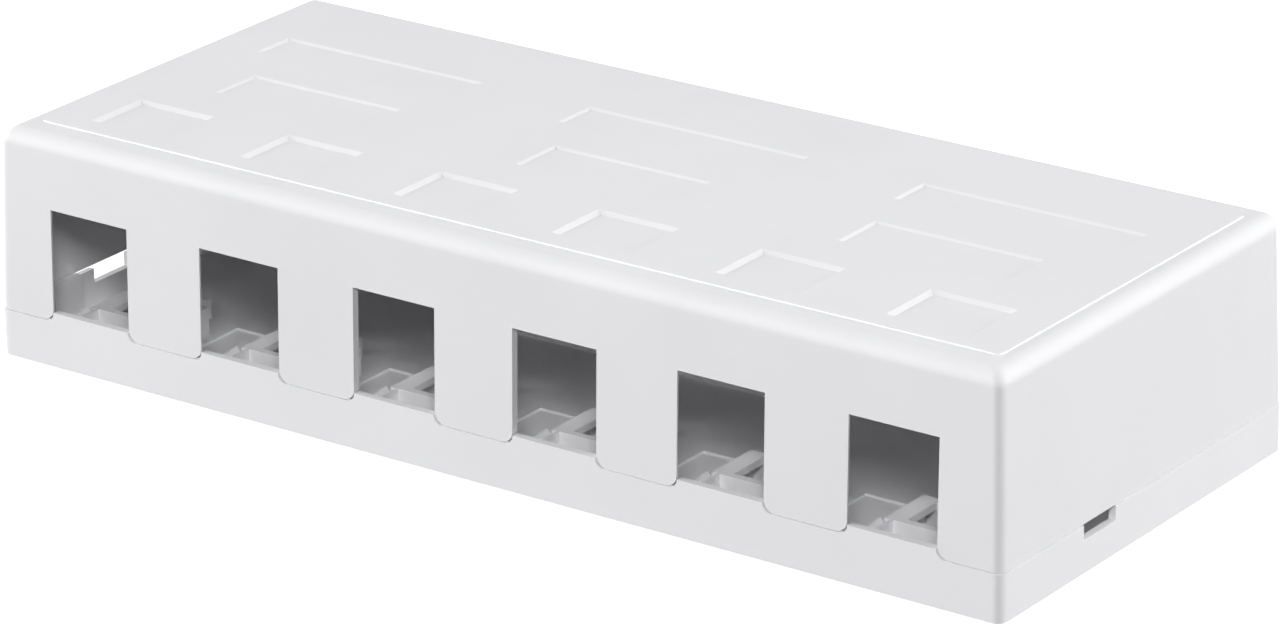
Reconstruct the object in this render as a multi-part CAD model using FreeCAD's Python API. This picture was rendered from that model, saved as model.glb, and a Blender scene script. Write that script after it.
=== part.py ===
import FreeCAD, Part
import math
import os

# Surface mount jack box: a moulded base that screws to a wall, and a moulded cover that snaps over it.
# Six jack ports stand in a row along the front. Millimetres, +Z up.
# The origin is at the middle of the base's underside, +X runs along the row and the front faces -Y.

# Overall sizes
box_length = 180.0
box_depth = 76.2
box_height = 36.8
corner_radius = 1.5

# Cover: walls, draft and the top
cover_wall = 1.25
cover_roof = 2.0
cover_draft = 0.8
cover_rim_inset = 0.1
top_fillet = 2.5
back_fillet = 1.0
inner_corner_radius = 1.0
panel_rise = 0.25
panel_inset_front = 6.1
panel_inset_side = 4.5
panel_inset_back = 4.3
panel_corner_radius = 1.2

# Seam between the two mouldings
seam_height = 7.45
seam_gap = 0.13
seam_groove_depth = 0.25
front_groove_depth = 0.5

# Ports along the front
port_count = 6
port_pitch = 28.8
port_width = 14.85
port_top = 25.15
sill_height = 8.8
finger_corner_radius = 1.9
tongue_flare_radius = 1.45
jamb_land = 0.3
jamb_relief = 1.3

# Recesses in the top: a row of squares for icons, then two rows of long fields for labels
icon_pitch = 28.6
icon_width = 14.3
icon_length = 11.6
icon_front = 10.0
icon_depth = 0.5
icon_bevel = 0.8
label_depth = 0.3
label_bevel = 0.5
middle_label_pitch = 57.1
middle_label_width = 28.4
middle_label_length = 9.6
middle_label_front = 30.3
rear_label_pitch = 59.1
rear_label_width = 38.1
rear_label_width_middle = 40.0
rear_label_length = 7.9
rear_label_front = 48.9

# Hold-down ribs under the roof, a pair above each port
hold_down_thickness = 1.2
hold_down_spacing = 8.0
hold_down_length = 11.0
hold_down_front = 6.0
hold_down_bottom = 27.6

# Base: floor and wall
floor_thickness = 1.6
base_wall = 1.15
tongue_thickness = 1.25

# Jack seats on the floor, one behind each port
seat_top = 6.5
seat_pair_shift = 0.6
seat_front = 9.6
seat_length = 9.9
seat_width = 14.8
seat_bar = 3.0
seat_rail = 1.2
seat_flange = 1.1
seat_leg = 1.2
guide_rib_width = 1.4
guide_fin_front = 3.4
guide_fin_rise = 0.6
guide_fin_land = 0.3
guide_fin_width = 0.8
guide_slot_length = 1.3
guide_slot_reach = 1.0
guide_slot_depth = 0.9
guide_slot_bridge = 0.1
seat_pad_rise = 0.4
seat_pad_margin = 1.7
seat_pad_back = 24.2

# Tie-down bridges behind the seats, and the low rib that joins them
bridge_front = 24.2
bridge_thickness = 1.0
bridge_width = 6.4
bridge_top = 5.2
bridge_arch_width = 4.0
bridge_arch_height = 2.6
cross_rib_rise = 0.4
cross_rib_thickness = 0.5
cross_rib_end_gap = 5.0

# Locating tabs that stand inside the end walls of the cover
tab_front = 9.2
tab_length = 6.3
tab_depth = 3.0
tab_rise = 1.0
tab_clearance = 0.4

# Pry notches in the base's end walls, and the side cable slot above the left one
notch_front = 21.2
notch_front_left = 20.55
notch_length = 8.45
notch_floor = 5.1
side_slot_front = 15.6
side_slot_length = 24.0
side_slot_rise = 0.8

# Rear cable entries, shared by the base and the cover
rear_entry_spacing = 90.0
rear_entry_width = 15.0
rear_entry_bottom = 3.2
rear_entry_top = 11.4
rear_entry_radius = 2.0

# Cable feed opening and screw holes in the floor
feed_length = 60.0
feed_width = 20.0
feed_radius = 3.0
feed_centre_y = 20.0
feed_lip_height = 1.2
feed_lip_thickness = 1.2
screw_spacing = 120.0
screw_y = 14.0
screw_hole_diameter = 4.4
screw_boss_diameter = 10.0
screw_boss_height = 1.4
screw_head_diameter = 8.0

# Small amount by which a cutter runs past the face that it cuts
overrun = 1.0

front_y = -box_depth / 2
back_y = box_depth / 2
left_x = -box_length / 2
right_x = box_length / 2
roof_z = box_height - panel_rise
workspace = FreeCAD.newDocument("box")
port_centres = [(i - (port_count - 1) / 2) * port_pitch for i in range(port_count)]
# The seats stand in pairs: the left one of a pair is a little left of its port's middle
seat_centres = [port_centres[i] - seat_pair_shift * (1 - i % 2) for i in range(port_count)]


def block(x0, x1, y0, y1, z0, z1):
    """A rectangular block between two corners."""
    return Part.makeBox(x1 - x0, y1 - y0, z1 - z0, FreeCAD.Vector(x0, y0, z0))


def rounded_rectangle(x0, x1, y0, y1, radius, z):
    """A closed wire, a rectangle with round corners, in a level plane."""
    points = []
    turns = [(x1, y0, -90), (x1, y1, 0), (x0, y1, 90), (x0, y0, 180)]
    for x, y, start in turns:
        centre = FreeCAD.Vector(
            x - math.copysign(radius, x - (x0 + x1) / 2),
            y - math.copysign(radius, y - (y0 + y1) / 2),
            z,
        )
        arc = []
        for angle in (start, start + 45, start + 90):
            turn = math.radians(angle)
            arc.append(centre + FreeCAD.Vector(radius * math.cos(turn), radius * math.sin(turn), 0))
        points.append(arc)
    edges = []
    for i, arc in enumerate(points):
        edges.append(Part.Arc(*arc).toShape())
        following = points[(i + 1) % len(points)]
        edges.append(Part.LineSegment(arc[2], following[0]).toShape())
    return Part.Wire(edges)


def rounded_block(x0, x1, y0, y1, radius, z0, z1):
    """A block with round upright edges."""
    face = Part.Face(rounded_rectangle(x0, x1, y0, y1, radius, z0))
    return face.extrude(FreeCAD.Vector(0, 0, z1 - z0))


def corners_at(x0, x1, y0, y1, z):
    """The four corners of a level rectangle."""
    return [FreeCAD.Vector(x, y, z) for x, y in ((x0, y0), (x1, y0), (x1, y1), (x0, y1))]


def tapered_block(lower, upper):
    """A solid with flat sides between two level four-sided outlines."""
    floor = lower[::-1]
    faces = [Part.Face(Part.makePolygon(floor + floor[:1])), Part.Face(Part.makePolygon(upper + upper[:1]))]
    for i in range(4):
        j = (i + 1) % 4
        side = [lower[i], lower[j], upper[j], upper[i], lower[i]]
        faces.append(Part.Face(Part.makePolygon(side)))
    shell = Part.makeShell(faces)
    shell.sewShape()
    return Part.makeSolid(shell)


def fillet_edges(shape, radii):
    """Rounds edges in one operation. The radii are given by a rule that looks at an edge's bounds."""
    source = workspace.addObject("Part::Feature", "source")
    source.Shape = shape
    rounded = workspace.addObject("Part::Fillet", "rounded")
    rounded.Base = source
    chosen = []
    for i, edge in enumerate(shape.Edges):
        radius = radii(edge.BoundBox)
        if radius > 0:
            chosen.append((i + 1, radius, radius))
    rounded.Edges = chosen
    workspace.recompute()
    return rounded.Shape


def draft_at(z):
    """How far the cover's outer face has leaned in at a height."""
    return cover_rim_inset + cover_draft * (z - seam_height) / (roof_z - seam_height)


def leaning_walls(wall, z0, z1):
    """The cover's outer form, or its cavity when wall is its thickness, with sharp edges."""
    outlines = []
    for z in (z0, z1):
        inset = draft_at(z) + wall
        outlines.append(
            corners_at(left_x + inset, right_x - inset, front_y + inset, back_y - inset, z)
        )
    return tapered_block(*outlines)


def cover_form():
    """The solid form of the cover, with round corners and round upper edges."""

    def radii(box):
        if box.ZLength > overrun:
            return corner_radius
        if box.ZMin > seam_height + overrun:
            return back_fillet if box.YMin > 0 else top_fillet
        return 0

    return fillet_edges(leaning_walls(0.0, seam_height, roof_z), radii)


def cover_cavity():
    """The space inside the cover's walls, open below."""

    def radii(box):
        return inner_corner_radius if box.ZLength > overrun else 0

    return fillet_edges(leaning_walls(cover_wall, seam_height - overrun, roof_z - cover_roof), radii)


def flared_panel(centre, half, radius, foot, low, top):
    """A face in the front plane that runs out on both sides, in a hollow arc, to a wider foot."""
    turn = radius * (1 - math.sqrt(0.5))
    spots = [
        (half, top),
        (half, low + radius),
        (half + turn, low + turn),
        (half + radius, low),
        (half + radius, foot),
    ]
    right = [FreeCAD.Vector(centre + x, front_y, z) for x, z in spots]
    left = [FreeCAD.Vector(centre - x, front_y, z) for x, z in spots]
    edges = [
        Part.LineSegment(left[0], right[0]).toShape(),
        Part.LineSegment(right[0], right[1]).toShape(),
        Part.Arc(right[1], right[2], right[3]).toShape(),
        Part.LineSegment(right[3], right[4]).toShape(),
        Part.LineSegment(right[4], left[4]).toShape(),
        Part.LineSegment(left[4], left[3]).toShape(),
        Part.Arc(left[3], left[2], left[1]).toShape(),
        Part.LineSegment(left[1], left[0]).toShape(),
    ]
    return Part.Face(Part.Wire(edges))


def port_cutter(centre):
    """Cuts one slot through the front wall, open below, and leaves round corners on the fingers."""
    foot = seam_height - overrun
    face = flared_panel(centre, port_width / 2, finger_corner_radius, foot, seam_height, port_top)
    face.translate(FreeCAD.Vector(0, -overrun, 0))
    return face.extrude(FreeCAD.Vector(0, cover_wall + cover_draft + 2 * overrun, 0))


def jamb_relief_cutter(centre):
    """Bevels the inner edges of a port's jambs, so that only a thin land is left at the front face."""
    outlines = []
    half = port_width / 2
    for z in (seam_height - overrun, port_top):
        land_y = front_y + draft_at(z) + jamb_land
        inner_y = front_y + draft_at(z) + cover_wall + overrun
        spread = half + jamb_relief * (inner_y - land_y) / (cover_wall - jamb_land)
        corners = [(-half, land_y), (half, land_y), (spread, inner_y), (-spread, inner_y)]
        outlines.append([FreeCAD.Vector(centre + x, y, z) for x, y in corners])
    return tapered_block(*outlines)


def recess(centre, width, front, length, depth, bevel):
    """A flat-bottomed recess with bevelled walls, sunk into the raised panel."""
    y0 = front_y + front
    outlines = []
    for z in (box_height - depth, box_height + overrun):
        shrink = bevel * (box_height - z) / depth
        half = width / 2 - shrink
        outlines.append(corners_at(centre - half, centre + half, y0 + shrink, y0 + length - shrink, z))
    return tapered_block(*outlines)


def top_recesses():
    """The icon squares and the label fields, in three rows."""
    cuts = []
    for i in range(port_count):
        centre = (i - (port_count - 1) / 2) * icon_pitch
        cuts.append(recess(centre, icon_width, icon_front, icon_length, icon_depth, icon_bevel))
    for i in (-1, 0, 1):
        cuts.append(
            recess(
                i * middle_label_pitch,
                middle_label_width,
                middle_label_front,
                middle_label_length,
                label_depth,
                label_bevel,
            )
        )
        width = rear_label_width if i else rear_label_width_middle
        cuts.append(
            recess(
                i * rear_label_pitch, width, rear_label_front, rear_label_length, label_depth, label_bevel
            )
        )
    return cuts


def raised_panel():
    """The slightly raised field that covers most of the top."""
    return rounded_block(
        left_x + panel_inset_side,
        right_x - panel_inset_side,
        front_y + panel_inset_front,
        back_y - panel_inset_back,
        panel_corner_radius,
        roof_z - panel_rise,
        box_height,
    )


def hold_down_ribs():
    """Pairs of short ribs that hang from the roof and keep the jacks down on their seats."""
    ribs = []
    y0 = front_y + hold_down_front
    for centre in port_centres:
        for side in (-1, 1):
            middle = centre + side * hold_down_spacing / 2
            ribs.append(
                block(
                    middle - hold_down_thickness / 2,
                    middle + hold_down_thickness / 2,
                    y0,
                    y0 + hold_down_length,
                    hold_down_bottom,
                    roof_z - cover_roof / 2,
                )
            )
    return ribs


def rear_entry(side):
    """A cable entry with round corners, through the back walls of both mouldings."""
    middle = side * rear_entry_spacing / 2
    half = rear_entry_width / 2
    thickness = cover_wall + cover_draft + 2 * overrun
    outline = rounded_rectangle(
        -half, half, rear_entry_bottom, rear_entry_top, rear_entry_radius, 0
    )
    cutter = Part.Face(outline).extrude(FreeCAD.Vector(0, 0, thickness))
    cutter.rotate(FreeCAD.Vector(0, 0, 0), FreeCAD.Vector(1, 0, 0), 90)
    cutter.translate(FreeCAD.Vector(middle, back_y + overrun, 0))
    return cutter


def side_slot():
    """The low cable slot in the lower edge of the cover's left wall."""
    y0 = front_y + side_slot_front
    return block(
        left_x - overrun,
        left_x + cover_wall + overrun,
        y0,
        y0 + side_slot_length,
        seam_height - overrun,
        seam_height + side_slot_rise,
    )


def make_cover():
    """The cover: a five-sided shell with round upper edges, six slots and the recessed top."""
    shell = cover_form().fuse(raised_panel()).cut(cover_cavity())
    cuts = [port_cutter(centre) for centre in port_centres]
    middle_ports = (port_count // 2 - 1, port_count // 2)
    for i, centre in enumerate(port_centres):
        if i not in middle_ports:
            cuts.append(jamb_relief_cutter(centre))
    cuts += top_recesses()
    cuts.append(side_slot())
    for side in (-1, 1):
        cuts.append(rear_entry(side))
    shell = shell.cut(cuts)
    shell = shell.fuse(hold_down_ribs())
    return shell.removeSplitter()


def base_floor():
    """The floor plate, with the same round corners as the walls."""
    return rounded_block(left_x, right_x, front_y, back_y, corner_radius, 0, floor_thickness)


def base_rim():
    """The low wall round the floor. Its outer edge is stepped down to leave a shadow line at the seam."""
    outer = rounded_block(left_x, right_x, front_y, back_y, corner_radius, 0, seam_height)
    inner = rounded_block(
        left_x + base_wall,
        right_x - base_wall,
        front_y + tongue_thickness,
        back_y - base_wall,
        corner_radius / 2,
        -overrun,
        seam_height + overrun,
    )
    ring = outer.cut(inner)
    step_outer = rounded_block(
        left_x - overrun,
        right_x + overrun,
        front_y - overrun,
        back_y + overrun,
        corner_radius,
        seam_height - seam_gap,
        seam_height + overrun,
    )
    step_inner = rounded_block(
        left_x + seam_groove_depth,
        right_x - seam_groove_depth,
        front_y + front_groove_depth,
        back_y - seam_groove_depth,
        corner_radius - seam_groove_depth,
        seam_height - 2 * seam_gap,
        seam_height + 2 * overrun,
    )
    return ring.cut(step_outer.cut(step_inner))


def tongue(centre):
    """The part of the front wall that rises between two fingers and makes the sill of a port."""
    half = port_width / 2 - seam_gap
    low = seam_height - seam_gap
    face = flared_panel(centre, half, tongue_flare_radius, floor_thickness, low, sill_height)
    return face.extrude(FreeCAD.Vector(0, tongue_thickness, 0))


def seat_window(centre, half_width, z0, z1):
    """The space inside a seat's front and back rails, between two heights."""
    y0 = front_y + seat_front + seat_rail
    y1 = front_y + seat_front + seat_length - seat_rail
    return block(centre - half_width, centre + half_width, y0, y1, z0, z1)


def seat_pocket(centre):
    """The space under a seat's top, which runs down through the floor."""
    return seat_window(centre, seat_width / 2 - seat_leg, -overrun, seat_top - seat_flange)


def seat_frame(centre):
    """A rectangular frame on legs. Its window takes the lower catch of a jack."""
    half = seat_width / 2
    y0 = front_y + seat_front
    body = block(centre - half, centre + half, y0, y0 + seat_length, floor_thickness / 2, seat_top)
    window = seat_window(centre, half - seat_bar, 0, seat_top + overrun)
    return body.cut([seat_pocket(centre), window])


def guide_ribs(centre):
    """Two ribs that run forward from a seat to the front wall."""
    ribs = []
    half = seat_width / 2
    y0 = front_y + tongue_thickness / 2
    y1 = front_y + seat_front + seat_rail / 2
    for side in (-1, 1):
        outer = centre + side * half
        inner = outer - side * guide_rib_width
        ribs.append(block(min(outer, inner), max(outer, inner), y0, y1, floor_thickness / 2, seat_top))
    return ribs


def guide_fin(centre, side):
    """The fin on a guide rib. It climbs to the catch slot, and its inner side leans."""
    outer = centre + side * seat_width / 2
    y0 = front_y + guide_fin_front
    y1 = front_y + seat_front - guide_slot_bridge - guide_slot_length
    root = seat_top - guide_slot_depth / 2
    top = seat_top + guide_fin_rise
    section = [
        (0, root),
        (0, top),
        (guide_fin_land, top),
        (guide_fin_width, seat_top),
        (guide_fin_width, root),
    ]
    points = [FreeCAD.Vector(outer - side * x, y0, z) for x, z in section]
    fin = Part.Face(Part.makePolygon(points + points[:1])).extrude(FreeCAD.Vector(0, y1 - y0, 0))
    slope = [(y0, seat_top), (y1, top), (y1, top + overrun), (y0, top + overrun)]
    points = [FreeCAD.Vector(outer - guide_fin_width - overrun, y, z) for y, z in slope]
    above = Part.Face(Part.makePolygon(points + points[:1]))
    return fin.cut(above.extrude(FreeCAD.Vector(2 * (guide_fin_width + overrun), 0, 0)))


def catch_slot(centre, side):
    """The slot between a fin and its seat, for the barb of a jack's catch."""
    outer = centre + side * (seat_width / 2 + overrun)
    inner = centre + side * (seat_width / 2 - guide_slot_reach)
    back = front_y + seat_front - guide_slot_bridge
    return block(
        min(outer, inner),
        max(outer, inner),
        back - guide_slot_length,
        back,
        seat_top - guide_slot_depth,
        seat_top + overrun,
    )


def seat_pad(centre):
    """The slightly thicker patch of floor under a seat."""
    half = seat_width / 2 + seat_pad_margin
    return block(
        centre - half,
        centre + half,
        front_y + tongue_thickness / 2,
        front_y + seat_pad_back,
        floor_thickness / 2,
        floor_thickness + seat_pad_rise,
    )


def tie_bridge(centre):
    """A small arch behind a seat, for the tie that holds the cable."""
    y0 = front_y + bridge_front
    half = bridge_width / 2
    plate = block(
        centre - half, centre + half, y0, y0 + bridge_thickness, floor_thickness / 2, bridge_top
    )
    arch_half = bridge_arch_width / 2
    spring = floor_thickness + bridge_arch_height - arch_half
    arch = block(
        centre - arch_half, centre + arch_half, y0 - overrun, y0 + bridge_thickness + overrun,
        floor_thickness, spring,
    )
    crown = Part.makeCylinder(
        arch_half,
        bridge_thickness + 2 * overrun,
        FreeCAD.Vector(centre, y0 - overrun, spring),
        FreeCAD.Vector(0, 1, 0),
    )
    return plate.cut([arch, crown])


def cross_rib():
    """The low rib along the floor, under the bridges."""
    y0 = front_y + bridge_front
    return block(
        left_x + cross_rib_end_gap,
        right_x - cross_rib_end_gap,
        y0,
        y0 + cross_rib_thickness,
        floor_thickness / 2,
        floor_thickness + cross_rib_rise,
    )


def locating_tab(side, front):
    """A tab inside an end wall. It stands up behind the cover's wall and keeps the cover in line."""
    top = seam_height + tab_rise
    y0 = front_y + front
    y1 = y0 + tab_length
    inner_x = right_x - tab_depth
    outer_x = right_x - draft_at(top) - cover_wall - tab_clearance
    root = block(inner_x, right_x - base_wall / 2, y0, y1, floor_thickness / 2, seam_height - 2 * seam_gap)
    stand = block(inner_x, outer_x, y0, y1, floor_thickness / 2, top)
    tab = root.fuse(stand)
    if side < 0:
        tab = tab.mirror(FreeCAD.Vector(0, 0, 0), FreeCAD.Vector(1, 0, 0))
    return tab


def pry_notch(side):
    """A notch in the upper edge of an end wall, for a screwdriver under the cover."""
    y0 = front_y + (notch_front if side > 0 else notch_front_left)
    inner = side * (right_x - base_wall - overrun / 2)
    outer = side * (right_x + overrun)
    return block(
        min(inner, outer), max(inner, outer), y0, y0 + notch_length, notch_floor, seam_height + overrun
    )


def feed_opening():
    """The opening in the floor for cables that come out of the wall."""
    return rounded_block(
        -feed_length / 2,
        feed_length / 2,
        feed_centre_y - feed_width / 2,
        feed_centre_y + feed_width / 2,
        feed_radius,
        -overrun,
        floor_thickness + feed_lip_height + overrun,
    )


def feed_lip():
    """The low lip round the cable feed opening."""
    return rounded_block(
        -feed_length / 2 - feed_lip_thickness,
        feed_length / 2 + feed_lip_thickness,
        feed_centre_y - feed_width / 2 - feed_lip_thickness,
        feed_centre_y + feed_width / 2 + feed_lip_thickness,
        feed_radius + feed_lip_thickness,
        floor_thickness / 2,
        floor_thickness + feed_lip_height,
    )


def screw_boss(side):
    """The thicker ring of floor round a screw hole."""
    place = FreeCAD.Vector(side * screw_spacing / 2, screw_y, floor_thickness / 2)
    return Part.makeCylinder(screw_boss_diameter / 2, floor_thickness / 2 + screw_boss_height, place)


def screw_hole(side):
    """A clearance hole with a conical seat for the screw's head."""
    x = side * screw_spacing / 2
    top = floor_thickness + screw_boss_height
    hole_radius = screw_hole_diameter / 2
    head_radius = screw_head_diameter / 2
    hole = Part.makeCylinder(hole_radius, top + 2 * overrun, FreeCAD.Vector(x, screw_y, -overrun))
    sink_depth = head_radius - hole_radius
    cone = Part.makeCone(
        hole_radius, head_radius, sink_depth, FreeCAD.Vector(x, screw_y, top - sink_depth)
    )
    return hole.fuse(cone)


def make_base():
    """The base: floor, rim, tongues, seats, bridges, tabs and screw bosses in one moulding."""
    parts = [base_rim(), cross_rib(), feed_lip()]
    parts += [tongue(centre) for centre in port_centres]
    for centre in seat_centres:
        parts += [seat_pad(centre), tie_bridge(centre)]
        parts += guide_ribs(centre)
        parts += [guide_fin(centre, side) for side in (-1, 1)]
    for side in (-1, 1):
        parts.append(screw_boss(side))
        for front in (tab_front, box_depth - tab_front - tab_length):
            parts.append(locating_tab(side, front))
    solid = base_floor().fuse(parts)
    cuts = [feed_opening()]
    for centre in seat_centres:
        cuts.append(seat_pocket(centre))
        cuts += [catch_slot(centre, side) for side in (-1, 1)]
    for side in (-1, 1):
        cuts += [pry_notch(side), screw_hole(side)]
        cuts.append(rear_entry(side))
    solid = solid.cut(cuts)
    solid = solid.fuse([seat_frame(centre) for centre in seat_centres])
    return solid.removeSplitter()


def save(shape, name):
    """Checks that a sub-part is one sound solid, and writes it."""
    solids = shape.Solids
    print(name, "valid", shape.isValid(), "solids", len(solids), "volume", round(shape.Volume, 1))
    solids[0].exportStep("parts/" + name + ".step")


os.makedirs("parts", exist_ok=True)
save(make_base(), "base")
save(make_cover(), "cover")
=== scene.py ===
import math

import bpy
from mathutils import Euler, Matrix, Vector

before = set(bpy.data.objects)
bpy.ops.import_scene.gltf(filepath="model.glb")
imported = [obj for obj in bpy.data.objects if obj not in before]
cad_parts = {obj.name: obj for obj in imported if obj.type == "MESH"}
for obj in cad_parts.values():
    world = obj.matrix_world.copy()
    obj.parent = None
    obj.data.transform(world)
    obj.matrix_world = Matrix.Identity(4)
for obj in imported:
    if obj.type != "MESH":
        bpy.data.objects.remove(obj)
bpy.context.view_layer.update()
scene = bpy.context.scene


# Camera: it stands in front of the box, to the right and above, with a long lens.
# Its place, its turn and its lens were fitted to the edges of the box in the photograph.
camera_place = (0.49401, -0.68071, 0.34211)
camera_azimuth = math.radians(35.838)
camera_elevation = math.radians(21.316)
camera_roll = math.radians(-0.673)
camera_data = bpy.data.cameras.new("camera")
camera_data.sensor_width = 36.0
camera_data.lens = 171.295
camera = bpy.data.objects.new("camera", camera_data)
scene.collection.objects.link(camera)
level_turn = Euler((math.pi / 2 - camera_elevation, 0.0, camera_azimuth)).to_matrix()
camera.location = camera_place
camera.rotation_euler = (level_turn @ Matrix.Rotation(camera_roll, 3, "Z")).to_euler("XYZ")
scene.camera = camera


# Base: the tray that screws to the wall, with its jack seats, bridges and tabs in one moulding.
# It is white ABS, injection moulded. The tool for it is only stoned, not textured, so the
# surface has a smooth satin look with a faint cloudiness from the flow of the plastic.
def linear(code):
    """The linear colour of an sRGB hex code."""
    parts = [int(code[i : i + 2], 16) / 255 for i in (1, 3, 5)]
    return [c / 12.92 if c <= 0.04045 else ((c + 0.055) / 1.055) ** 2.4 for c in parts] + [1.0]


def add(tree, kind, settings=(), links=()):
    """Adds a node, sets its inputs or attributes by name, and links its inputs to sockets."""
    node = tree.nodes.new(kind)
    for name, value in dict(settings).items():
        if name in node.inputs:
            node.inputs[name].default_value = value
        else:
            setattr(node, name, value)
    for name, socket in dict(links).items():
        tree.links.new(socket, node.inputs[name])
    return node


def moulded_abs(name, light, dark, roughness, grain_mm, grain_height_mm):
    """White ABS. Noise with cells of flow_mm tints it between light and dark. Noise with cells of
    grain_mm is its texture: it varies the roughness and lifts the surface by grain_height_mm."""
    flow_mm = 22.0
    roughness_change = 0.06
    material = bpy.data.materials.new(name)
    material.use_nodes = True
    tree = material.node_tree
    shader = tree.nodes["Principled BSDF"]
    shader.inputs["IOR"].default_value = 1.53
    place = add(tree, "ShaderNodeTexCoord")
    flow = add(
        tree,
        "ShaderNodeTexNoise",
        {"Scale": 1000.0 / flow_mm, "Detail": 3.0, "Roughness": 0.5},
        {"Vector": place.outputs["Object"]},
    )
    tint = add(tree, "ShaderNodeValToRGB", links={"Fac": flow.outputs["Fac"]})
    for stop, spot, colour in zip(tint.color_ramp.elements, (0.3, 0.7), (light, dark)):
        stop.position = spot
        stop.color = linear(colour)
    tree.links.new(tint.outputs["Color"], shader.inputs["Base Color"])
    grain = add(
        tree,
        "ShaderNodeTexNoise",
        {"Scale": 1000.0 / grain_mm, "Detail": 2.0, "Roughness": 0.6},
        {"Vector": place.outputs["Object"]},
    )
    satin = add(
        tree,
        "ShaderNodeMapRange",
        {"To Min": roughness - roughness_change, "To Max": roughness + roughness_change},
        {"Value": grain.outputs["Fac"]},
    )
    tree.links.new(satin.outputs["Result"], shader.inputs["Roughness"])
    relief = add(
        tree,
        "ShaderNodeBump",
        {"Strength": 1.0, "Distance": grain_height_mm / 1000.0},
        {"Height": grain.outputs["Fac"]},
    )
    tree.links.new(relief.outputs["Normal"], shader.inputs["Normal"])
    return material


# Stoned ABS is a cool white that breaks up a reflection only a little, so the walls and the seats
# look smooth. The marks of the stone are under 0.1 mm, so they are drawn at 0.5 mm to show at all.
stoned_abs = moulded_abs(
    "stoned_moulded_abs",
    light="#F7F7F9",
    dark="#F4F4F6",
    roughness=0.56,
    grain_mm=0.5,
    grain_height_mm=0.004,
)
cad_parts["base"].data.materials.clear()
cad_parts["base"].data.materials.append(stoned_abs)


# Cover: the shell that snaps over the base, with its seven fingers and the raised panel on top.
# It is white ABS too. Its tool is spark eroded, which gives the plastic a fine, even grain and a
# soft sheen that hides finger marks.
# The grain is about 0.15 mm wide, less than a pixel of the picture, so it is drawn at 0.4 mm. It
# spreads the light of the lamps into a broad, dull gleam.
spark_abs = moulded_abs(
    "spark_textured_abs",
    light="#F3F3F5",
    dark="#F0F0F2",
    roughness=0.64,
    grain_mm=0.4,
    grain_height_mm=0.006,
)
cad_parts["cover"].data.materials.clear()
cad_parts["cover"].data.materials.append(spark_abs)


# Floor: a wide sheet of matt white paper that the box stands on, laid flat and not fixed.
# To the camera and in reflections it is white paper that also glows, with a faint shadow of the
# box. To all other light it is a dark grey, so it throws little light up at the box.
floor_reach = 6.0
# It lies a hair under the box, so that the two do not flicker where they touch.
floor_level = -0.0002
corners = [(-1, -1), (1, -1), (1, 1), (-1, 1)]
floor_mesh = bpy.data.meshes.new("floor")
floor_mesh.from_pydata(
    [(x * floor_reach, y * floor_reach, floor_level) for x, y in corners], [], [(0, 1, 2, 3)]
)
floor = bpy.data.objects.new("floor", floor_mesh)
scene.collection.objects.link(floor)
floor_paper = bpy.data.materials.new("matt_paper_floor")
floor_paper.use_nodes = True
tree = floor_paper.node_tree
tree.nodes.remove(tree.nodes["Principled BSDF"])
bounce = add(tree, "ShaderNodeBsdfDiffuse", {"Color": linear("#404040")})
paper = add(tree, "ShaderNodeBsdfDiffuse", {"Color": linear("#E6E6E6")})
glow = add(tree, "ShaderNodeEmission", {"Strength": 0.9})
seen_paper = add(tree, "ShaderNodeAddShader")
tree.links.new(paper.outputs["BSDF"], seen_paper.inputs[0])
tree.links.new(glow.outputs["Emission"], seen_paper.inputs[1])


def seen_or_mirrored(tree):
    """1 for a ray from the camera, off a mirror or through a clear surface, 0 for other rays."""
    rays = add(tree, "ShaderNodeLightPath")
    either = rays.outputs["Is Camera Ray"]
    for other in ("Is Glossy Ray", "Is Transmission Ray"):
        larger = add(tree, "ShaderNodeMath", {"operation": "MAXIMUM"})
        tree.links.new(either, larger.inputs[0])
        tree.links.new(rays.outputs[other], larger.inputs[1])
        either = larger.outputs["Value"]
    return either


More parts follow.
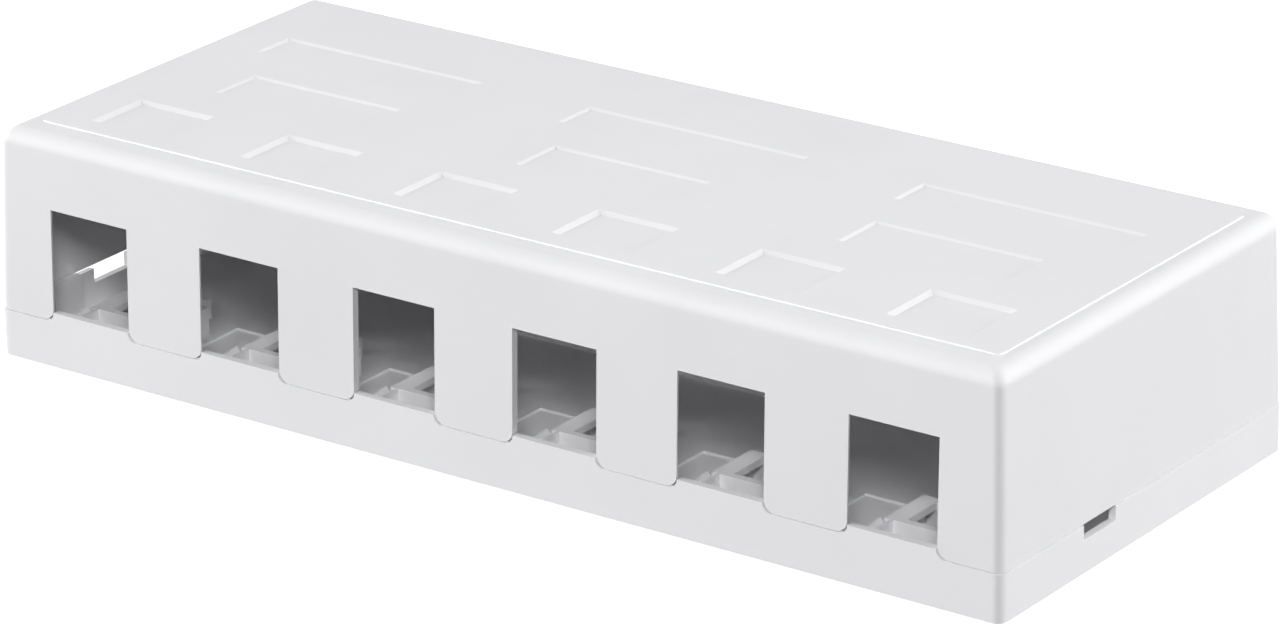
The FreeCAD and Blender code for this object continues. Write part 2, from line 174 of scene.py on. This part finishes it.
choose = add(tree, "ShaderNodeMixShader", links={"Fac": seen_or_mirrored(tree)})
tree.links.new(bounce.outputs["BSDF"], choose.inputs[1])
tree.links.new(seen_paper.outputs["Shader"], choose.inputs[2])
tree.links.new(choose.outputs["Shader"], tree.nodes["Material Output"].inputs["Surface"])
floor_mesh.materials.append(floor_paper)


# Studio: a white room behind everything, and seven soft square lamps round the box.
# Two low lamps at the ends light the right side and the front. Three in front reach into the
# ports, and two behind give the top its even white. The room itself adds very little light.
room_light = 0.04
world = bpy.data.worlds.new("studio")
scene.world = world
world.use_nodes = True
tree = world.node_tree
tree.nodes["Background"].inputs["Color"].default_value = linear("#FFFFFF")
tree.nodes["Background"].inputs["Strength"].default_value = room_light
white = add(tree, "ShaderNodeBackground", {"Color": linear("#FFFFFF"), "Strength": 1.0})
choose = add(tree, "ShaderNodeMixShader", links={"Fac": seen_or_mirrored(tree)})
tree.links.new(tree.nodes["Background"].outputs["Background"], choose.inputs[1])
tree.links.new(white.outputs["Background"], choose.inputs[2])
tree.links.new(choose.outputs["Shader"], tree.nodes["World Output"].inputs["Surface"])


lamp_distance = 1.2


def soft_lamp(name, azimuth, elevation, size, watts):
    """A square lamp, size metres wide, that stands lamp_distance from the middle of the box and
    faces it. Both angles are in degrees. Azimuth 0 is in front of the box, 90 is on its right."""
    data = bpy.data.lights.new(name, "AREA")
    data.shape = "SQUARE"
    data.size = size
    data.energy = watts
    lamp = bpy.data.objects.new(name, data)
    scene.collection.objects.link(lamp)
    turn = Euler((math.radians(90.0 - elevation), 0.0, math.radians(azimuth)))
    lamp.rotation_euler = turn
    lamp.location = turn.to_matrix() @ Vector((0.0, 0.0, lamp_distance))


soft_lamp("right_lamp", 125, 15, 0.7, 10.2)
soft_lamp("left_lamp", -60, 15, 0.7, 11.5)
soft_lamp("front_right_lamp", 36, 35, 0.25, 6.2)
soft_lamp("low_front_lamp", 10, 12, 0.7, 0.6)
soft_lamp("front_lamp", 5, 38, 0.2, 1.4)
soft_lamp("back_lamp", 165, 40, 0.6, 2.4)
soft_lamp("back_left_lamp", -135, 35, 0.6, 1.2)
scene.view_settings.view_transform = "Standard"
